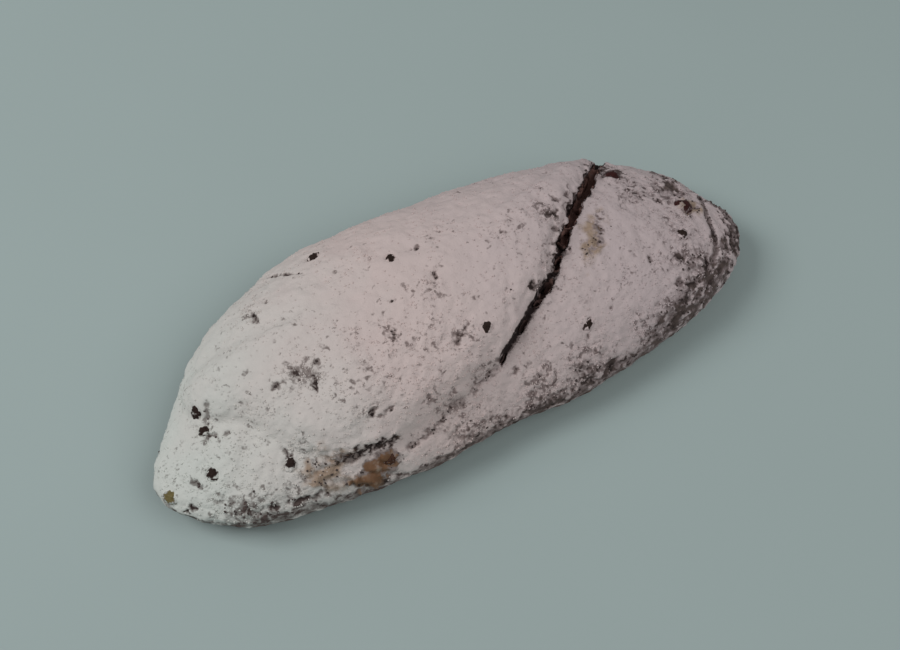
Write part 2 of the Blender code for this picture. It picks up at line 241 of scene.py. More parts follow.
# How far a fruit is grown to close its socket in the dough, and to touch the crust round it.
SOCKET_REACH = 0.8 * MM
FRUIT_SWELL = 0.3 * MM

# The share of its faces that the flat underside keeps.
UNDERSIDE_SHARE = 0.04

# The studio, in metres: what the camera aims at, where the two softboxes hang, and how wide they and
# the floor are.
CAMERA_AIM = Vector((4.0, 3.0, 4.7)) * MM
KEY_PLACE = (-1.1, 0.55, 1.35)
KEY_WIDTH = 0.9
FILL_PLACE = (0.7, -0.8, 1.4)
FILL_WIDTH = 1.2
FLOOR_WIDTH = 6.0


def linear(hex_colour):
    """A linear RGBA colour from an sRGB hex value."""
    values = [int(hex_colour[i : i + 2], 16) / 255 for i in (1, 3, 5)]
    curve = [v / 12.92 if v <= 0.04045 else ((v + 0.055) / 1.055) ** 2.4 for v in values]
    return (*curve, 1.0)


def colour_property(name, description, hex_colour):
    return FloatVectorProperty(
        name=name,
        description=description,
        subtype="COLOR",
        size=4,
        min=0.0,
        max=1.0,
        default=linear(hex_colour),
    )


def length_property(name, description, default):
    return FloatProperty(name=name, description=description, default=default, min=0.0, unit="LENGTH")


def power_property(name, description, default):
    return FloatProperty(name=name, description=description, default=default, min=0.0, unit="POWER")


class StollenSizes(bpy.types.PropertyGroup):
    voxel: length_property("Mesh grain", "Edge length of the loaf's mesh", 0.96 * MM)
    keep_sharp: length_property("Sharp strip", "Width beside a crack that is left unsmoothed", 3 * MM)
    valley: length_property("Valley", "Width of the soft valley beside the free edge", 8 * MM)
    jag: length_property("Jags", "How far the crack's edges are torn in and out", 1.7 * MM)
    swell: length_property("Swells", "Height of the crust's broad unevenness", 0.8 * MM)
    wrinkle: length_property("Wrinkles", "Height of the crust's fine unevenness", 0.4 * MM)
    sugar_depth: length_property("Sugar depth", "Thickness of the sugar where it is full", 0.7 * MM)
    crack_fill: length_property("Crack fill", "How far crumbs and sugar fill the crack", 5 * MM)
    torn_depth: length_property("Torn lumps", "Height of the lumps in torn and soaked places", 2.4 * MM)
    mark_depth: length_property("Mark depth", "Depth of a mark where the sugar is gone", 0.7 * MM)
    fruit_sink: length_property("Fruit clearance", "How far the crust is sunk where a fruit shows", 1.5 * MM)
    clump_size: length_property("Sugar clumps", "Mean width of a loose clump of sugar", 0.75 * MM)
    clump_count: IntProperty(name="Clump count", description="Loose clumps of sugar", default=5200, min=0)
    crumb_size: length_property("Crumbs", "Mean width of a loose crumb of crust", 1.1 * MM)
    crumb_count: IntProperty(name="Crumb count", description="Loose crumbs of crust", default=500, min=0)


class StollenColours(bpy.types.PropertyGroup):
    sugar: colour_property("Sugar", "Powdered sugar on the warm middle of the loaf", "#DDCBC7")
    sugar_cool: colour_property("Cool sugar", "Powdered sugar at the blunt end", "#DCDED8")
    # The grey sugar at the cracked end is painted shade, where the key light falls off.
    sugar_far_shaded: colour_property("Grey sugar", "Powdered sugar at the cracked end", "#CDBDBD")
    # Thin sugar's grey tint also paints shade: in the pits, in the valley, along the near lower edge and at
    # the cracked end.
    sugar_thin: colour_property("Thin sugar", "Tint of sugar so thin that the crust shows", "#A6A09F")
    crust: colour_property("Crust", "Baked crust", "#655753")
    # Dark crust, which also serves as painted shade in hollows, in the crack and the tear, and in the pits
    # of the marks.
    crust_dark_and_shade: colour_property("Dark crust", "Crust in pits and cracks", "#2A1F1E")
    # Painted light: the crust near the underside is paler, lit by light reflected from below.
    crust_lit_below: colour_property("Lower crust", "Paler crust near the underside", "#8C7068")
    crumb: colour_property("Crumb", "Torn crumb below the crust", "#AC9684")
    # Torn crumb deep in the crack; its reddish tint paints the reddened light bounced about in the crack.
    crack: colour_property("Crack", "Moist crumb deep in the crack, in its full light", "#A47B72")
    syrup: colour_property("Syrup", "Crust soaked with butter and fruit syrup", "#7C5B42")
    raisin: colour_property("Raisin", "Skin of the raisins", "#3A2B26")
    soaked_raisin: colour_property("Soaked raisin", "Skin of a raisin that lies in syrup", "#5A3B2C")
    cherry: colour_property("Cherry", "Candied cherry", "#4C2523")
    peel: colour_property("Peel", "Candied peel", "#8A7C50")
    floor: colour_property("Floor", "Pale studio floor", "#B3C3C1")
    daylight: colour_property("Daylight", "Tint of the even light", "#EEF2F4")


class StollenStudio(bpy.types.PropertyGroup):
    elevation: FloatProperty(
        name="Camera elevation",
        description="Angle of the camera above the horizon",
        default=math.radians(62),
        unit="ROTATION",
    )
    azimuth: FloatProperty(
        name="Camera azimuth",
        description="Turn of the camera's view from +Y towards +X",
        default=math.radians(26),
        unit="ROTATION",
    )
    distance: length_property("Camera distance", "Distance of the camera from its aim", 0.625)
    key_power: power_property("Key light", "Power of the key light", 13.4)
    fill_power: power_property("Fill light", "Power of the fill light", 7.0)
    ambient: FloatProperty(name="Ambient", description="Strength of the even light", default=0.22, min=0.0)


# Helpers for objects and meshes


def select_only(obj):
    bpy.ops.object.select_all(action="DESELECT")
    obj.select_set(True)
    bpy.context.view_layer.objects.active = obj


def copy_of_node(node, name):
    """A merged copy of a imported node, ready to be worked on. Call it before the node is replaced."""
    select_only(frame["nodes"][node])
    bpy.ops.object.duplicate(linked=False)
    copy = bpy.context.active_object
    copy.name = name
    copy.data.name = name
    bpy.ops.object.parent_clear(type="CLEAR_KEEP_TRANSFORM")
    del copy["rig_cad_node"]
    del copy["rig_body"]
    copy.data.materials.clear()
    bpy.ops.object.mode_set(mode="EDIT")
    bpy.ops.mesh.select_all(action="SELECT")
    bpy.ops.mesh.remove_doubles(threshold=0.01 * MM)
    bpy.ops.object.mode_set(mode="OBJECT")
    return copy


def apply_modifier(obj, kind, **settings):
    """Adds a modifier to the object, which has to be the active one, and applies it."""
    modifier = obj.modifiers.new(kind.lower(), kind)
    for name, value in settings.items():
        setattr(modifier, name, value)
    bpy.ops.object.modifier_apply(modifier=modifier.name)


def points_of(mesh):
    points = np.empty(len(mesh.vertices) * 3, np.float32)
    mesh.vertices.foreach_get("co", points)
    return points.reshape(-1, 3).astype(float)


def normals_of(mesh):
    normals = np.empty(len(mesh.vertices) * 3, np.float32)
    mesh.vertex_normals.foreach_get("vector", normals)
    return normals.reshape(-1, 3).astype(float)


def move_points(mesh, points):
    mesh.vertices.foreach_set("co", points.astype(np.float32).ravel())
    mesh.update()


def store(mesh, name, values):
    """Keeps one number for each point of the mesh, for a material to read."""
    attribute = mesh.attributes.new(name, "FLOAT", "POINT")
    attribute.data.foreach_set("value", values.astype(np.float32))


def smooth_step(low, high, values):
    """0 at low and 1 at high, and smooth between them. Low may be the larger."""
    share = np.clip((values - low) / (high - low), 0, 1)
    return share * share * (3 - 2 * share)


def noise_at(points, size, octaves, seed):
    """Smooth noise of about -1 to 1, whose largest waves are this size."""
    places = (points / size + seed * 13.7).tolist()
    return np.array([noise.fractal(place, 1.0, 2.0, octaves) for place in places])


def gaps_to_line(points, line):
    """The way in plan from the nearest place on a line of points in millimetres to each point."""
    best = np.full((len(points), 2), np.inf)
    corners = np.array(line, float) * MM
    for start, end in zip(corners, corners[1:]):
        along = end - start
        share = np.clip((points[:, :2] - start) @ along / (along @ along), 0, 1)
        gap = points[:, :2] - start - share[:, None] * along
        nearer = np.hypot(*gap.T) < np.hypot(*best.T)
        best[nearer] = gap[nearer]
    return best


def distance_to_line(points, line):
    """The distance in plan from each point to a line of points in millimetres."""
    return np.hypot(*gaps_to_line(points, line).T)


def crack_half_width(points):
    """Half the width of the crack beside each point: it closes towards its near end."""
    return 0.2 * MM + 0.036 * np.clip(points[:, 0], 8 * MM, 119 * MM)


def crack_share(points):
    """The distance from the middle of the crack over its half width, made uneven along its edges."""
    gap = distance_to_line(points, CRACK_LINE)
    uneven = 0.8 * noise_at(points, 4 * MM, 3, 17) * smooth_step(0, 2 * MM, gap)
    return gap / crack_half_width(points) + uneven


def inside_oval(points, x, y, half_length, half_width, turn):
    """0 at the oval's middle, 1 on its rim and more outside, in plan."""
    gap = points[:, :2] - np.array((x, y)) * MM
    angle = math.radians(turn)
    along = gap @ np.array((math.cos(angle), math.sin(angle)))
    across = gap @ np.array((-math.sin(angle), math.cos(angle)))
    return np.hypot(along / (half_length * MM), across / (half_width * MM))


def finish_piece(obj, nodes, material):
    """Shades a piece, gives it its material and ties it to the loaf's one body."""
    obj.data.materials.clear()
    obj.data.materials.append(material)
    obj.data.shade_smooth()
    if nodes:
        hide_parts(*nodes)
    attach(obj, "root")


# Helpers for materials


def new_material(name):
    """An empty material with its output and Principled shader. Returns the material, tree and shader."""
    material = bpy.data.materials.new(name)
    material.use_nodes = True
    tree = material.node_tree
    return material, tree, tree.nodes["Principled BSDF"]


def add_node(tree, kind, settings, inputs):
    """Adds a node with its own settings. An input takes a value, or the socket that feeds it."""
    node = tree.nodes.new(kind)
    for name, value in settings.items():
        setattr(node, name, value)
    for name, value in inputs.items():
        if isinstance(value, bpy.types.NodeSocket):
            tree.links.new(value, node.inputs[name])
        else:
            node.inputs[name].default_value = value
    return node


def painted(tree, base, coats):
    """The colour of a base under coats of colour, each with the share of the surface that it hides."""
    for share, colour in coats:
        inputs = {0: share, 6: base, 7: colour}
        base = add_node(tree, "ShaderNodeMix", {"data_type": "RGBA"}, inputs).outputs[2]
    return base


def sugar_tone(tree, place):
    """Powdered sugar: a cooler white at the blunt end, warm in the middle, and greyer at the cracked end,
    where the grey is painted shade of the light falling off.
    """
    colours = bpy.context.scene.stollen_colours
    inputs = {"Vector": place, "Scale": 1 / (24 * MM)}
    broad = add_node(tree, "ShaderNodeTexNoise", {}, inputs).outputs["Fac"]
    along = add_node(tree, "ShaderNodeSeparateXYZ", {}, {0: place}).outputs["X"]
    waved = {0: broad, 1: 60 * MM, 2: along}
    along = add_node(tree, "ShaderNodeMath", {"operation": "MULTIPLY_ADD"}, waved).outputs[0]
    cool = add_node(tree, "ShaderNodeMapRange", {}, {0: along, 1: 0.0, 2: -110 * MM}).outputs[0]
    # Painted shade: grey towards the cracked end, away from the key light.
    grey = add_node(tree, "ShaderNodeMapRange", {}, {0: along, 1: 5 * MM, 2: 120 * MM}).outputs[0]
    return painted(tree, tuple(colours.sugar), [(cool, colours.sugar_cool), (grey, colours.sugar_far_shaded)])


def thin_sugar_tone(tree, full):
    """Sugar so thin that the crust shows through: the tone of full sugar, darkened to grey, which partly
    paints shade.
    """
    inputs = {0: 1.0, 6: full, 7: tuple(bpy.context.scene.stollen_colours.sugar_thin)}
    settings = {"data_type": "RGBA", "blend_type": "MULTIPLY"}
    return add_node(tree, "ShaderNodeMix", settings, inputs).outputs[2]


def sugared_crust_material():
    """Icing sugar sifted over a butter-brushed baked crust: matt white powder with a fine grain, which
    breaks up into flecks where it is thin and leaves brown crust bare in cracks and pits."""
    colours = bpy.context.scene.stollen_colours
    material, tree, shader = new_material("icing_sugar_on_baked_crust")
    place = add_node(tree, "ShaderNodeTexCoord", {}, {}).outputs["Object"]
    worked_out = {}
    for name in ("sugar", "flecks", "dark", "crumb", "deep", "syrup", "low"):
        worked_out[name] = add_node(tree, "ShaderNodeAttribute", {"attribute_name": name}, {}).outputs["Fac"]

    # Sugar lies in lumps and patches a few millimetres wide, pitted and speckled. A grain of it is too
    # fine to show, so it is drawn as clots of 0.6 mm.
    waves = {}
    for name, size, detail, distortion in (
        ("lumps", 6 * MM, 3.0, 0.0),
        ("patches", 6.5 * MM, 2.0, 0.4),
        ("pits", 2.7 * MM, 1.0, 0.5),
        ("speckle", 1.4 * MM, 2.0, 0.0),
        ("grain", 0.6 * MM, 1.0, 0.0),
    ):
        inputs = {"Vector": place, "Scale": 1 / size, "Detail": detail, "Distortion": distortion}
        waves[name] = add_node(tree, "ShaderNodeTexNoise", {}, inputs).outputs["Fac"]

    # A pit in the sugar is a soft spot, and pits come in groups. The thinner, greyer sugar in the pits also
    # paints the small shadows among the sugar's lumps.
    pitted = 0.0
    for source, share in ((waves["patches"], 0.5), (waves["pits"], 0.65), (worked_out["flecks"], 0.27)):
        inputs = {0: source, 1: share, 2: pitted}
        pitted = add_node(tree, "ShaderNodeMath", {"operation": "MULTIPLY_ADD"}, inputs).outputs[0]
    settings = {"interpolation_type": "SMOOTHSTEP"}
    pitted = add_node(tree, "ShaderNodeMapRange", settings, {0: pitted, 1: 0.70, 2: 0.94}).outputs[0]

    # The sugar's thickness wavers, and gives out where it is thin.
    thickness = worked_out["sugar"]
    for source, share in ((waves["lumps"], 0.7), (waves["speckle"], 0.7), (pitted, -0.6)):
        inputs = {0: source, 1: share, 2: thickness}
        thickness = add_node(tree, "ShaderNodeMath", {"operation": "MULTIPLY_ADD"}, inputs).outputs[0]

    # The share of the surface that each coat hides, from waves and from what the mesh's points hold.
    shares = {}
    for name, source, low, high in (
        ("covered", thickness, 0.76, 0.98),
        ("full", thickness, 1.00, 1.60),
        ("brown", waves["lumps"], 0.25, 0.52),
        ("pale", waves["speckle"], 0.35, 0.60),
        ("grainy", waves["speckle"], 0.25, 0.55),
        ("soaked", waves["lumps"], 0.72, 0.52),
        ("stained", waves["lumps"], 0.40, 0.28),
        ("mottled", waves["lumps"], 0.38, 0.58),
    ):
        inputs = {0: source, 1: low, 2: high}
        shares[name] = add_node(tree, "ShaderNodeMapRange", settings, inputs).outputs[0]
    for name, first, second in (
        ("pale", shares["pale"], worked_out["low"]),
        ("tan", shares["grainy"], worked_out["crumb"]),
        ("amber", shares["soaked"], worked_out["syrup"]),
        ("stained", shares["stained"], worked_out["syrup"]),
        ("mottled", shares["mottled"], worked_out["crumb"]),
    ):
        product = add_node(tree, "ShaderNodeMath", {"operation": "MULTIPLY"}, {0: first, 1: second})
        shares[name] = product.outputs[0]

    # Bare crust, mottled and stained. Its last coat is dark crust painted as shade: in hollows that see
    # little sky, along the crack and the tear, and in the pits of the marks.
    bare = painted(
        tree,
        tuple(colours.crust_dark_and_shade),
        [
            (shares["brown"], colours.crust),
            # Paler crust near the underside: painted reflected light.
            (shares["pale"], colours.crust_lit_below),
            (worked_out["crumb"], colours.syrup),
            (shares["tan"], colours.crumb),
            (worked_out["syrup"], colours.crumb),
            (shares["amber"], colours.syrup),
            (shares["stained"], colours.crust_dark_and_shade),
            # The crack's deep floor: torn crumb, reddened as painted bounce light.
            (worked_out["deep"], colours.crack),
            (worked_out["dark"], colours.crust_dark_and_shade),
        ],
    )
    full = sugar_tone(tree, place)
    sugar = painted(tree, thin_sugar_tone(tree, full), [(shares["full"], full)])
    sugar = painted(tree, sugar, [(shares["mottled"], colours.crumb)])
    tree.links.new(painted(tree, bare, [(shares["covered"], sugar)]), shader.inputs["Base Color"])

    # Grain, speckle and full sugar stand out. Syrup leaves the crust shinier.
    height = 0.0
    for source, share in ((waves["grain"], 0.2), (waves["speckle"], 0.4), (shares["full"], 0.5)):
        inputs = {0: source, 1: share, 2: height}
        height = add_node(tree, "ShaderNodeMath", {"operation": "MULTIPLY_ADD"}, inputs).outputs[0]
    bump = add_node(tree, "ShaderNodeBump", {}, {"Height": height, "Strength": 0.9, "Distance": 0.6 * MM})
    tree.links.new(bump.outputs[0], shader.inputs["Normal"])
    inputs = {0: worked_out["syrup"], 3: 0.92, 4: 0.55}
    roughness = add_node(tree, "ShaderNodeMapRange", {}, inputs).outputs[0]
    tree.links.new(roughness, shader.inputs["Roughness"])
    shader.inputs["Specular IOR Level"].default_value = 0.25
    return material


def fruit_material(name, colour, fold_shade_share, roughness, coat):
    """Skin of dried or candied fruit: wrinkled folds with painted shade in their hollows, a faint shine, and
    sugar caught on its rim.
    """
    material, tree, shader = new_material(name)
    place = add_node(tree, "ShaderNodeTexCoord", {}, {}).outputs["Object"]
    # Folds in the skin are about 1.6 mm apart. The powder on it is drawn in clots of 1.1 mm, because its
    # grain is too fine to show.
    inputs = {"Vector": place, "Scale": 1 / (1.6 * MM), "Detail": 3.0}
    folds = add_node(tree, "ShaderNodeTexNoise", {}, inputs).outputs["Fac"]
    inputs = {"Vector": place, "Scale": 1 / (1.1 * MM), "Detail": 2.0}
    powder = add_node(tree, "ShaderNodeTexNoise", {}, inputs).outputs["Fac"]
    rim = add_node(tree, "ShaderNodeAttribute", {"attribute_name": "dust"}, {}).outputs["Fac"]
    total = add_node(tree, "ShaderNodeMath", {"operation": "ADD"}, {0: powder, 1: rim}).outputs[0]
    film = add_node(tree, "ShaderNodeMapRange", {}, {0: total, 1: 0.66, 2: 0.86}).outputs[0]
    caught = add_node(tree, "ShaderNodeMapRange", {}, {0: total, 1: 0.84, 2: 1.04}).outputs[0]
    full = sugar_tone(tree, place)
    # Painted shade: the skin darkens in the hollows of its folds, where the bump is lowest.
    dark = tuple(value * fold_shade_share for value in colour[:3]) + (1.0,)
    coats = [(folds, tuple(colour)), (film, thin_sugar_tone(tree, full)), (caught, full)]
    skin = painted(tree, dark, coats)
    tree.links.new(skin, shader.inputs["Base Color"])
    bump = add_node(tree, "ShaderNodeBump", {}, {"Height": folds, "Strength": 0.6, "Distance": 0.3 * MM})
    tree.links.new(bump.outputs[0], shader.inputs["Normal"])
    shader.inputs["Roughness"].default_value = roughness
    shader.inputs["Specular IOR Level"].default_value = 0.15
    shader.inputs["Coat Weight"].default_value = coat
    return material


# The loaf


def grown_copy(node, name, margin):
    """A copy of a fruit solid that reaches past the gap round it, into the dough."""
    lump = copy_of_node(node, name)
    apply_modifier(lump, "DISPLACE", strength=margin, mid_level=0.0)
    return lump


def dough_lump(x, y, z, width):
    """An uneven lump, to be merged into the loaf."""
    bpy.ops.object.select_all(action="DESELECT")
    bpy.ops.mesh.primitive_ico_sphere_add(subdivisions=3, radius=width / 2 * MM)
    lump = bpy.context.active_object
    points = points_of(lump.data)
    points *= 1 + 0.35 * noise_at(points + np.array((x, y, z)) * MM, 3 * MM, 2, 4)[:, None]
    move_points(lump.data, points + np.array((x, y, z)) * MM)
    return lump


def smooth_where(obj, weights, iterations):
    """Smooths the object's mesh, most where a point's weight is 1."""
    group = obj.vertex_groups.new(name="soft")
    for step in range(1, 11):
        members = np.flatnonzero(np.round(weights * 10) == step).tolist()
        group.add(members, step / 10, "REPLACE")
    apply_modifier(obj, "SMOOTH", factor=0.5, iterations=iterations, vertex_group="soft")
    obj.vertex_groups.clear()


def coarse_underside(obj):
    """Merges the even mesh of the flat underside, which nothing shows, into far fewer faces."""
    select_only(obj)
    bpy.ops.object.mode_set(mode="EDIT")
    bpy.ops.mesh.select_all(action="DESELECT")
    bpy.ops.object.mode_set(mode="OBJECT")
    for face in obj.data.polygons:
        face.select = face.normal.z < -0.99 and face.center.z < 0.5 * MM
    bpy.ops.object.mode_set(mode="EDIT")
    bpy.ops.mesh.select_less()
    bpy.ops.mesh.decimate(ratio=UNDERSIDE_SHARE)
    bpy.ops.object.mode_set(mode="OBJECT")


def loaf_blank():
    """The dough with its fruit as one even fine mesh, smoothed except beside its openings."""
    sizes = bpy.context.scene.stollen_sizes
    lumps = [grown_copy(node, "lump", SOCKET_REACH) for node in sorted(frame["nodes"]) if node != "dough"]
    lumps += [dough_lump(*place) for place in BRIDGES]
    loaf = copy_of_node("dough", "baked_loaf")
    for lump in lumps:
        lump.select_set(True)
    bpy.ops.object.join()
    apply_modifier(loaf, "REMESH", mode="VOXEL", voxel_size=sizes.voxel)
    coarse_underside(loaf)
    apply_modifier(loaf, "SMOOTH", factor=0.5, iterations=2)
    valley = distance_to_line(points_of(loaf.data), VALLEY_LINE)
    smooth_where(loaf, 1 - smooth_step(0.6 * sizes.valley, 1.3 * sizes.valley, valley), 90)
    soft = np.ones(len(valley))
    for line in (CRACK_LINE, TEAR_LINE, GROOVE_LINE):
        gap = distance_to_line(points_of(loaf.data), line)
        soft *= smooth_step(sizes.keep_sharp, 2.5 * sizes.keep_sharp, gap)
    smooth_where(loaf, soft, 20)
    return loaf


def tear_edges(points):
    """Draws the tear and the crack's narrow end together, and makes the edges of both ragged."""
    jag = bpy.context.scene.stollen_sizes.jag
    # The crack closes towards its narrow end.
    gaps = gaps_to_line(points, CRACK_LINE)
    pinch = 0.8 * smooth_step(52 * MM, 14 * MM, points[:, 0])
    pinch *= 1 - smooth_step(1.5 * MM, 5 * MM, np.hypot(*gaps.T))
    points[:, :2] -= gaps * pinch[:, None]
    # The tear closes by half.
    gaps = gaps_to_line(points, TEAR_LINE)
    pinch = 0.5 * (1 - smooth_step(1.5 * MM, 5 * MM, np.hypot(*gaps.T)))
    points[:, :2] -= gaps * pinch[:, None]
    # The share of the full raggedness at each point: none at the underside, which stays flat.
    share = 1 - smooth_step(3 * MM, 8 * MM, distance_to_line(points, CRACK_LINE))
    share *= 0.35 + 0.65 * smooth_step(10 * MM, 60 * MM, points[:, 0])
    share = np.maximum(share, 0.3 - 0.3 * smooth_step(2 * MM, 5 * MM, distance_to_line(points, TEAR_LINE)))
    share *= smooth_step(0, 5 * MM, points[:, 2])
    noise.seed_set(7)  # noise_vector takes the clock's time as its seed otherwise
    for index in np.flatnonzero(share > 0):
        place = Vector(points[index])
        pull = noise.noise_vector(place / (5 * MM)) + 0.5 * noise.noise_vector(place / (2 * MM))
        points[index] += np.array(pull) * jag * share[index]
    return points


def open_sky(points, normals, tree):
    """The share of the sky that each point sees, from above to 50 degrees down, as sifted sugar would."""
    directions = [Vector((0, 0, 1))]
    for tilt, count in ((25, 4), (50, 6)):
        for index in range(count):
            turn = 2 * math.pi * (index + tilt / 50) / count
            level = math.radians(tilt)
            flat = math.sin(level)
            directions.append(Vector((flat * math.cos(turn), flat * math.sin(turn), math.cos(level))))
    seen = np.zeros(len(points))
    starts = (points + normals * 0.3 * MM).tolist()
    for index, start in enumerate(starts):
        if normals[index, 2] < -0.2:
            continue
        clear = sum(tree.ray_cast(start, way, 40 * MM)[0] is None for way in directions)
        seen[index] = clear / len(directions)
    return seen


def marks_at(points, normals):
    """1 in the middle of a deep mark, less in a shallow one, and 0 outside the marks."""
    wobble = noise_at(points, 2.2 * MM, 2, 5) * 1.2
    out = distance_to_line(points, SHADE_LINE) / (1 * MM) + 1.6 * wobble
    # The bottom of the valley is one long, faint mark of painted shade.
    found = 0.35 * (1 - smooth_step(0.2, 1.2, out))
    for x, y, length, width, turn, depth in MARKS:
        out = inside_oval(points, x, y, length / 2 + 0.5, width / 2 + 0.5, turn) + wobble
        found = np.maximum(found, depth * (1 - smooth_step(0.1, 1.3, out)))
    return found * (normals[:, 2] > 0)


def near_valley(points):
    """1 in the soft valley beside the free edge, 0 away from it and soon 0 up the flap's slope."""
    gaps = gaps_to_line(points, SHADE_LINE)
    reach = np.where(gaps[:, 1] > 0, 5 * MM, 3 * MM)
    return 1 - smooth_step(0.1, 1, np.hypot(*gaps.T) / reach + 0.3 * noise_at(points, 5 * MM, 2, 19))


def flecks_at(points, normals, cover):
    """How broken the sugar is: most in the named places, in the valley and on the edge of the bare sides."""
    found = 0.16 + 0.25 * noise_at(points, 18 * MM, 2, 7)
    found += 0.16 * smooth_step(20 * MM, -25 * MM, points[:, 1])
    for x, y, radius, strength in FLECKED_PLACES:
        out = inside_oval(points, x, y, radius, radius, 0)
        found = np.maximum(found, strength * np.exp(-(out**2)))
    # In the valley the sugar is broken, as painted shade.
    found = np.maximum(found, 0.42 * near_valley(points))
    thinning = smooth_step(0.2, 0.5, cover) * (1 - smooth_step(0.6, 0.95, cover))
    return np.maximum(found, 0.8 * thinning) * (normals[:, 2] > 0)


def sugar_cover(points, normals, sky):
    """How much of the crust the sugar hides at each point, from 0 to 1. The sides that face away from the
    key light, towards -Y and the cracked end, have less: bare crust that also serves as painted shade there."""
    # Sides facing away from the key light lose sugar, partly as painted shade.
    away = smooth_step(-0.4, 0.5, normals @ np.array((0.45, -0.75, 0)))
    away *= smooth_step(-120 * MM, -60 * MM, points[:, 0])
    away *= 1 - smooth_step(31 * MM, 42 * MM, points[:, 2])
    uneven = 0.12 * noise_at(points, 13 * MM, 2, 11) + 0.16 * noise_at(points, 4 * MM, 3, 31)
    away *= 0.35 + 0.65 * smooth_step(40 * MM, 110 * MM, points[:, 0])
    low = -0.22 + 0.22 * away
    high = 0.34 + 0.36 * away
    slope = np.clip((normals[:, 2] + uneven - low) / (high - low), 0, 1)
    # Sugar settles where it sees the sky, and beside the crack it needs more of it.
    beside = 1 - smooth_step(1.2, 2, crack_share(points))
    cover = slope * smooth_step(0.10 + 0.45 * beside, 0.55 + 0.40 * beside, sky)
    for x, y, radius, loss in THIN_SUGAR_AND_SHADE:
        out = inside_oval(points, x, y, radius, radius, 0)
        cover -= loss * np.exp(-(out**2))
    # Painted shade: thinner sugar in the valley.
    cover -= 0.13 * near_valley(points)
    rim = distance_to_line(points, RIM_LINE)
    cover -= 0.65 * (1 - smooth_step(2 * MM, 8 * MM, rim + uneven * 25 * MM))
    # A little sugar clings in specks even where the crust is too steep for it.
    least = 0.30 + 0.14 * smooth_step(80 * MM, 120 * MM, points[:, 0])
    least *= 1 + 2.6 * noise_at(points, 4 * MM, 3, 37)
    least *= smooth_step(0.15, 0.4, sky) * smooth_step(2 * MM, 9 * MM, points[:, 2])
    groove = distance_to_line(points, GROOVE_LINE) + uneven * 4 * MM
    groove = 1 - smooth_step(0.5 * MM, 2 * MM, groove)
    return np.clip(np.maximum(cover, least) - 0.6 * groove, 0, 1)


def patches_at(points, normals, places):
    """1 in the torn or soaked places, with an uneven rim, and 0 outside them."""
    wobble = noise_at(points, 6 * MM, 3, 9) * 0.6
    found = np.zeros(len(points))
    for place in places:
        out = inside_oval(points, *place) + wobble
        found = np.maximum(found, 1 - smooth_step(0.5, 1.2, out))
    return found * (normals[:, 2] > 0)


def fruit_places(points):
    """1 where a fruit shows through the crust, less where it barely does, 0 away from the fruit."""
    found = np.zeros(len(points))
    for node in frame["nodes"]:
        if node == "dough":
            continue
        low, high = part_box(node)
        middle = (np.array(low) + np.array(high)) / 2
        reach = (np.array(high) - np.array(low)) / 2
        out = np.linalg.norm((points - middle) / (reach + 1 * MM), axis=1)
        sunk = 0.5 if node in SUNKEN_FRUIT else 1
        found = np.maximum(found, sunk * (1 - smooth_step(0.8, 1.1, out)))
    return found


def crack_depth(points, sky):
    """1 at the bottom of the crack, less towards its narrow end, and 0 on its lips."""
    middle = 1 - smooth_step(0.5, 1.0, distance_to_line(points, CRACK_LINE) / crack_half_width(points))
    wide = 0.4 + 0.6 * smooth_step(20 * MM, 70 * MM, points[:, 0])
    return middle * (1 - smooth_step(0.3, 0.6, sky)) * wide


def bare_shaded_core(points, sky, beside, tear):
    """1 along the middle of the crack and the tear, where no sugar holds and the crust is painted dark as
    shade, even where the mesh has closed the gap, and 0 away from them.
    """
    shaded_core = 1 - smooth_step(0.6, 1.1, beside)
    shaded_core *= 1 - smooth_step(0.7, 0.9, sky) * smooth_step(30 * MM, 45 * MM, points[:, 0])
    ragged = tear + 2 * MM * noise_at(points, 2.5 * MM, 2, 23)
    return np.maximum(shaded_core, 0.85 * (1 - smooth_step(0.1 * MM, 0.9 * MM, ragged)))


def relief_at(points, cover, flecks, crumb, syrup, marks):
    """How far the crust with its sugar stands out at each point, or sinks in where it is negative."""
    sizes = bpy.context.scene.stollen_sizes
    lift = sizes.swell * noise_at(points, 11 * MM, 2, 1)
    lift += sizes.wrinkle * noise_at(points, 3.2 * MM, 2, 2) * (0.8 + 1.4 * flecks + 3 * crumb + 2 * syrup)
    lift += sizes.sugar_depth * (cover - 1 + crumb + 2 * syrup)
    lift += sizes.torn_depth * noise_at(points, 4.5 * MM, 2, 29) * np.maximum(crumb, syrup)
    lift -= sizes.mark_depth * marks + sizes.fruit_sink * fruit_places(points)
    return lift * smooth_step(0, 4 * MM, points[:, 2])


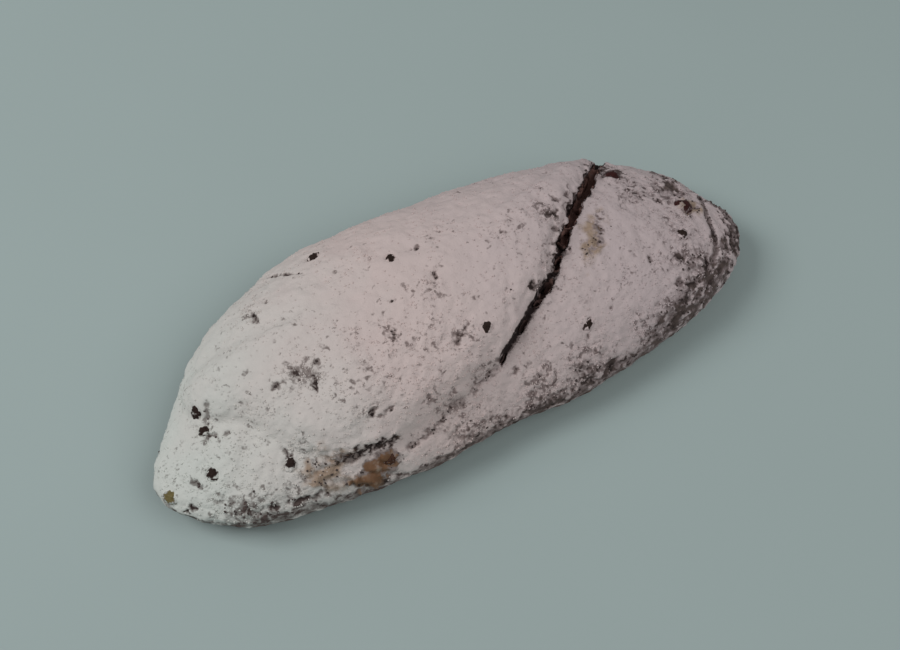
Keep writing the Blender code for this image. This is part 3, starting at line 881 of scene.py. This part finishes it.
def dress_loaf():
    """Relief, the sugar's thickness and the bare places, worked out point by point on the fine mesh."""
    loaf = loaf_blank()
    mesh = loaf.data
    move_points(mesh, tear_edges(points_of(mesh)))
    points = points_of(mesh)
    normals = normals_of(mesh)
    sky = open_sky(points, normals, BVHTree.FromObject(loaf, bpy.context.evaluated_depsgraph_get()))
    tear = distance_to_line(points, TEAR_LINE)
    deep = crack_depth(points, sky)
    sunk = 0.6 * (1 - smooth_step(0.8 * MM, 2 * MM, tear)) * (1 - smooth_step(0.45, 0.75, sky))
    # The tear is too shallow to keep the sugar out, so its own walls hide less of the sky from here on.
    sky = np.maximum(sky, 0.6 * (1 - smooth_step(3 * MM, 6 * MM, tear)))
    marks = marks_at(points, normals)
    crumb = patches_at(points, normals, CRUMB_PLACES)
    syrup = patches_at(points, normals, SYRUP_PLACES)
    cover = sugar_cover(points, normals, sky)
    flecks = flecks_at(points, normals, cover)
    beside = crack_share(points)
    shaded_core = bare_shaded_core(points, sky, beside, tear)
    cover *= (1 - 0.35 * crumb) * (1 - syrup) * (1 - marks) * (1 - shaded_core)
    filled = points + normals * relief_at(points, cover, flecks, crumb, syrup, marks)[:, None]
    fill = bpy.context.scene.stollen_sizes.crack_fill
    filled[:, 2] += fill * np.maximum(deep, sunk) * (normals[:, 2] > -0.2)
    move_points(mesh, filled)
    store(mesh, "sugar", cover)
    store(mesh, "flecks", flecks)
    store(mesh, "crumb", crumb)
    store(mesh, "deep", deep)
    store(mesh, "syrup", syrup)
    # Painted shade: hollows that see little of the sky, more of them in the crack, are painted dark. So are
    # the bare core of the crack and the tear, and the pits of the marks. On the crack's deep floor the crack
    # colour takes over.
    crack = 1 - smooth_step(0.9, 1.6, beside)
    painted_hollow_shade = (1 - smooth_step(0.1 + 0.25 * crack, 0.45 + 0.35 * crack, sky)) * (normals[:, 2] > -0.2)
    dark = np.maximum.reduce([0.8 * marks**2, painted_hollow_shade, shaded_core])
    store(mesh, "dark", dark * (1 - 0.85 * deep))
    # How near the underside each point is, for the paler crust of painted reflected light.
    store(mesh, "low", 1 - smooth_step(6 * MM, 20 * MM, points[:, 2]))
    finish_piece(loaf, ["dough"], sugared_crust_material())


# The fruit


def wrinkled_fruit(node, name, seed, fold, depth, most_dust):
    """A fruit solid made fine, with folds in its skin and sugar caught round its rim."""
    fruit = copy_of_node(node, name)
    apply_modifier(fruit, "SUBSURF", levels=2, render_levels=2)
    apply_modifier(fruit, "DISPLACE", strength=FRUIT_SWELL, mid_level=0.0)
    mesh = fruit.data
    points = points_of(mesh)
    normals = normals_of(mesh)
    folds = np.abs(noise_at(points, fold, 2, seed))
    move_points(mesh, points + normals * (depth * (folds - 0.5))[:, None])
    middle = (points.max(axis=0) + points.min(axis=0)) / 2
    reach = (points.max(axis=0) - points.min(axis=0)) / 2
    out = np.hypot(*((points - middle) / reach)[:, :2].T)
    dust = most_dust * smooth_step(0.5, 1.05, out * (1 + 0.9 * noise_at(points, 2.4 * MM, 2, seed + 40)))
    store(mesh, "dust", dust * (1 - 0.8 * patches_at(points, normals, SYRUP_PLACES)))
    return fruit


def dress_fruit(kind, piece_name, fold, depth, most_dust, material, soaked=None):
    """Dresses all the fruit of a kind. One that lies in syrup takes the soaked material if there is one."""
    names = sorted(name for name in frame["nodes"] if name.startswith(kind))
    for seed, node in enumerate(names):
        number = node.rsplit("_", 1)[1]
        fruit = wrinkled_fruit(node, f"{piece_name}_{number}", seed, fold, depth, most_dust)
        wet = patches_at(np.array([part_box(node)[0]]), np.array([(0, 0, 1)]), SYRUP_PLACES)[0] > 0.5
        finish_piece(fruit, [node], soaked if wet and soaked else material)


# Loose sugar and crumbs


def scatter(name, count, size, chances, flatness, seed, source):
    """Small irregular lumps on the loaf, more where the chance is higher, joined in one mesh."""
    random = np.random.default_rng(seed)
    points = points_of(source.data)
    normals = normals_of(source.data)
    chosen = random.choice(len(points), count, replace=False, p=chances / chances.sum())
    bpy.ops.object.select_all(action="DESELECT")
    bpy.ops.mesh.primitive_ico_sphere_add(subdivisions=1, radius=0.5)
    lump = bpy.context.active_object
    lump.name = name
    lump.data.name = name
    ball = points_of(lump.data)
    faces = np.array([face.vertices[:] for face in lump.data.polygons])
    corners = []
    for index in chosen:
        scale = size * random.uniform(0.5, 1.5) * np.array((1, random.uniform(0.6, 1.0), flatness))
        shape = ball * (1 + random.uniform(-0.25, 0.25, (len(ball), 1))) * scale
        lean = Vector((0, 0, 1)).rotation_difference(Vector(normals[index])).to_matrix()
        turn = Matrix.Rotation(random.uniform(0, 2 * math.pi), 3, "Z")
        corners.append(shape @ np.array(lean @ turn).T + points[index] + normals[index] * scale[2] * 0.2)
    offsets = np.arange(count)[:, None, None] * len(ball)
    mesh = lump.data
    mesh.clear_geometry()
    mesh.from_pydata(np.concatenate(corners), [], (faces[None] + offsets).reshape(-1, 3))
    mesh.update()
    return lump


def attribute_of(mesh, name):
    """The numbers that were stored for the mesh's points under this name."""
    values = np.empty(len(mesh.vertices), np.float32)
    mesh.attributes[name].data.foreach_get("value", values)
    return values.astype(float)


def loose_sugar_material():
    """Icing sugar that has clumped into small soft lumps: white and matt, in the tone of the sugar below."""
    material, tree, shader = new_material("clumped_icing_sugar")
    place = add_node(tree, "ShaderNodeTexCoord", {}, {}).outputs["Object"]
    tree.links.new(sugar_tone(tree, place), shader.inputs["Base Color"])
    shader.inputs["Roughness"].default_value = 0.95
    shader.inputs["Specular IOR Level"].default_value = 0.2
    return material


def crust_crumb_material():
    """Crumbs broken from the baked crust: dark brown and dull, each a little lighter or darker."""
    colours = bpy.context.scene.stollen_colours
    material, tree, shader = new_material("baked_crust_crumbs")
    place = add_node(tree, "ShaderNodeTexCoord", {}, {}).outputs["Object"]
    inputs = {"Vector": place, "Scale": 1 / (2.5 * MM)}
    tone = add_node(tree, "ShaderNodeTexNoise", {}, inputs).outputs["Fac"]
    colour = painted(tree, tuple(colours.crust_dark_and_shade), [(tone, colours.crust)])
    tree.links.new(colour, shader.inputs["Base Color"])
    shader.inputs["Roughness"].default_value = 0.9
    return material


# Operators


class STOLLEN_OT_loaf(bpy.types.Operator):
    """Replace the dough with a fine mesh of baked, sugared crust"""

    bl_idname = "stollen.loaf"
    bl_label = "Baked loaf"

    def execute(self, context):
        dress_loaf()
        return {"FINISHED"}


class STOLLEN_OT_raisins(bpy.types.Operator):
    """Replace the raisin solids with wrinkled raisins"""

    bl_idname = "stollen.raisins"
    bl_label = "Raisins"

    def execute(self, context):
        colours = context.scene.stollen_colours
        skin = fruit_material("dried_raisin_skin", colours.raisin, 0.4, 0.75, 0.0)
        soaked = fruit_material("syrup_soaked_raisin_skin", colours.soaked_raisin, 0.45, 0.6, 0.1)
        dress_fruit("raisin", "wrinkled_raisin", 2.2 * MM, 0.9 * MM, 0.7, skin, soaked)
        return {"FINISHED"}


class STOLLEN_OT_candied_fruit(bpy.types.Operator):
    """Replace the cherry and peel solids with candied fruit"""

    bl_idname = "stollen.candied_fruit"
    bl_label = "Candied fruit"

    def execute(self, context):
        colours = context.scene.stollen_colours
        cherry = fruit_material("candied_cherry_flesh", colours.cherry, 0.3, 0.55, 0.08)
        dress_fruit("cherry", "halved_cherry", 4 * MM, 0.6 * MM, 0.25, cherry)
        peel = fruit_material("candied_citrus_peel", colours.peel, 0.45, 0.55, 0.08)
        dress_fruit("candied_peel", "peel_chunk", 3 * MM, 1.2 * MM, 0.5, peel)
        return {"FINISHED"}


class STOLLEN_OT_loose_sugar(bpy.types.Operator):
    """Scatter small clumps of sugar where the sugar lies thick"""

    bl_idname = "stollen.loose_sugar"
    bl_label = "Loose sugar"

    def execute(self, context):
        sizes = context.scene.stollen_sizes
        loaf = bpy.data.objects["baked_loaf"]
        cover = attribute_of(loaf.data, "sugar")
        broken = 0.01 + np.clip(attribute_of(loaf.data, "flecks"), 0, 0.7) ** 2
        chances = smooth_step(0.55, 0.95, cover) * broken * (normals_of(loaf.data)[:, 2] > 0.2)
        lumps = scatter("loose_sugar", sizes.clump_count, sizes.clump_size, chances, 0.6, 21, loaf)
        finish_piece(lumps, [], loose_sugar_material())
        return {"FINISHED"}


class STOLLEN_OT_crumbs(bpy.types.Operator):
    """Scatter crumbs of crust where the sugar has broken away"""

    bl_idname = "stollen.crumbs"
    bl_label = "Crust crumbs"

    def execute(self, context):
        sizes = context.scene.stollen_sizes
        loaf = bpy.data.objects["baked_loaf"]
        cover = attribute_of(loaf.data, "sugar")
        thin = smooth_step(0.15, 0.4, cover) * (1 - smooth_step(0.55, 0.8, cover))
        chances = (thin + 0.001) * (normals_of(loaf.data)[:, 2] > 0.3)
        crumbs = scatter("crust_crumbs", sizes.crumb_count, sizes.crumb_size, chances, 0.5, 22, loaf)
        finish_piece(crumbs, [], crust_crumb_material())
        return {"FINISHED"}


def floor_material():
    """Seamless studio paper: pale, matt, with a faint unevenness in tone."""
    material, tree, shader = new_material("pale_studio_paper")
    colour = bpy.context.scene.stollen_colours.floor
    place = add_node(tree, "ShaderNodeTexCoord", {}, {}).outputs["Object"]
    tone = add_node(tree, "ShaderNodeTexNoise", {}, {"Vector": place, "Scale": 6.0}).outputs["Fac"]
    darker = tuple(value * 0.95 for value in colour[:3]) + (1.0,)
    tree.links.new(painted(tree, darker, [(tone, tuple(colour))]), shader.inputs["Base Color"])
    shader.inputs["Roughness"].default_value = 0.9
    return material


def aim(obj, target):
    """Turns a camera or light so that its view axis points at the target."""
    obj.rotation_euler = (Vector(target) - obj.location).to_track_quat("-Z", "Y").to_euler()


def add_softbox(name, place, target, width, power):
    bpy.ops.object.light_add(type="AREA", location=place)
    light = bpy.context.active_object
    light.name = name
    light.data.shape = "SQUARE"
    light.data.size = width
    light.data.energy = power
    aim(light, target)


class STOLLEN_OT_stage(bpy.types.Operator):
    """Make the floor, the soft lights and the camera"""

    bl_idname = "stollen.stage"
    bl_label = "Stage"

    def execute(self, context):
        studio = context.scene.stollen_studio
        bpy.ops.object.select_all(action="DESELECT")
        bpy.ops.mesh.primitive_plane_add(size=FLOOR_WIDTH, location=(0, 0, CAD_BOX[0].z))
        floor = context.active_object
        floor.name = "floor"
        floor.data.materials.append(floor_material())
        middle = (CAD_BOX[0] + CAD_BOX[1]) / 2
        add_softbox("key_softbox", KEY_PLACE, middle, KEY_WIDTH, studio.key_power)
        add_softbox("fill_softbox", FILL_PLACE, middle, FILL_WIDTH, studio.fill_power)
        world = bpy.data.worlds.new("even_light")
        world.use_nodes = True
        background = world.node_tree.nodes["Background"]
        background.inputs["Color"].default_value = context.scene.stollen_colours.daylight
        background.inputs["Strength"].default_value = studio.ambient
        context.scene.world = world
        context.scene.view_settings.view_transform = "Standard"
        self.add_camera(context, studio)
        return {"FINISHED"}

    def add_camera(self, context, studio):
        """A 50 mm lens that looks down on the loaf, aimed a little above the loaf's own middle."""
        flat = math.cos(studio.elevation)
        turn = studio.azimuth
        forward = Vector((flat * math.sin(turn), flat * math.cos(turn), -math.sin(studio.elevation)))
        bpy.ops.object.camera_add(location=CAMERA_AIM - forward * studio.distance)
        camera = context.active_object
        camera.data.lens = 50
        camera.data.sensor_width = 36
        aim(camera, CAMERA_AIM)
        context.scene.camera = camera


class STOLLEN_PT_panel(bpy.types.Panel):
    """Lists the pieces of the stollen in the order in which they are made"""

    bl_idname = "STOLLEN_PT_panel"
    bl_label = "Stollen"
    bl_space_type = "VIEW_3D"
    bl_region_type = "UI"
    bl_category = "Stollen"

    def draw(self, context):
        for operator in OPERATORS:
            self.layout.operator(operator.bl_idname)
        scene = context.scene
        for group in (scene.stollen_sizes, scene.stollen_colours, scene.stollen_studio):
            for name in group.__annotations__:
                self.layout.prop(group, name)


OPERATORS = (
    STOLLEN_OT_loaf,
    STOLLEN_OT_raisins,
    STOLLEN_OT_candied_fruit,
    STOLLEN_OT_loose_sugar,
    STOLLEN_OT_crumbs,
    STOLLEN_OT_stage,
)
CLASSES = (StollenSizes, StollenColours, StollenStudio, *OPERATORS, STOLLEN_PT_panel)


def register():
    for cls in CLASSES:
        bpy.utils.register_class(cls)
    bpy.types.Scene.stollen_sizes = PointerProperty(type=StollenSizes)
    bpy.types.Scene.stollen_colours = PointerProperty(type=StollenColours)
    bpy.types.Scene.stollen_studio = PointerProperty(type=StollenStudio)


def unregister():
    del bpy.types.Scene.stollen_studio
    del bpy.types.Scene.stollen_colours
    del bpy.types.Scene.stollen_sizes
    for cls in reversed(CLASSES):
        bpy.utils.unregister_class(cls)


def main():
    register()
    bpy.ops.stollen.loaf()
    bpy.ops.stollen.raisins()
    bpy.ops.stollen.candied_fruit()
    bpy.ops.stollen.loose_sugar()
    bpy.ops.stollen.crumbs()
    bpy.ops.stollen.stage()


if __name__ == "__main__":
    main()
